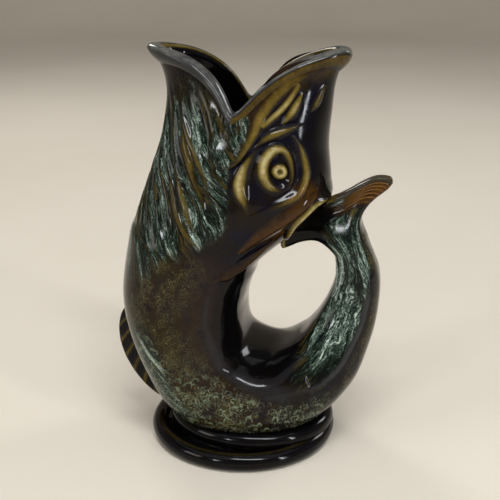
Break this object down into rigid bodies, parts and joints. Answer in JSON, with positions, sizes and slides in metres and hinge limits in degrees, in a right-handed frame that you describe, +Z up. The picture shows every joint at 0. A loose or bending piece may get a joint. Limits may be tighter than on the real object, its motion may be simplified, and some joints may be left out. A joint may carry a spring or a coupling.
{
  "type": "gurgle jug",
  "caption": "Fish-shaped glazed jug on a round foot: the open mouth pours, and the hollow tail, curled up behind the head as the handle, traps air that gurgles.",
  "frame": {"origin": "centre of the underside of the foot, on the table", "axes": "+Z up, +X from the throat towards the tail handle, Y across the jug"},
  "size_m": [0.1342, 0.093, 0.1926],
  "materials": {
    "head_glaze": "glossy, chocolate brown pooling to navy-black in the recesses",
    "body_glaze": "glossy, dark olive-brown with fine pale speckles",
    "belly_glaze": "glossy, olive-brown with pale green curls and drips",
    "tail_glaze": "glossy, mint and white streaks over green-black",
    "lip_glaze": "glossy, worn to pale grey-olive on the rim",
    "foot_glaze": "glossy, black with a navy cast",
    "fin_glaze": "glossy, olive and orange-brown on the rays over black",
    "relief_glaze": "glossy, breaking to olive-gold on the ridges",
    "ray_glaze": "glossy, pale mint streaks on the rays"
  },
  "bodies": {
    "root": {"head_shell": "head_glaze", "torso_shell": "body_glaze", "belly_shell": "belly_glaze", "tail_handle": "tail_glaze", "lower_lip": "lip_glaze", "upper_lip": "lip_glaze", "foot_ring": "foot_glaze", "foot_collar": "foot_glaze", "tail_fin": "fin_glaze", "belly_fin": "fin_glaze", "left_eye_ring": "relief_glaze", "right_eye_ring": "relief_glaze", "left_pupil": "relief_glaze", "right_pupil": "relief_glaze", "left_brow": "relief_glaze", "right_brow": "relief_glaze", "left_cheek_ridges": "relief_glaze", "right_cheek_ridges": "relief_glaze", "left_lip_fold": "relief_glaze", "right_lip_fold": "relief_glaze", "left_snout_flutes": "relief_glaze", "right_snout_flutes": "relief_glaze", "left_throat_rays": "ray_glaze", "right_throat_rays": "ray_glaze", "left_gill_edge": "relief_glaze", "right_gill_edge": "relief_glaze"}
  },
  "joints": []
}
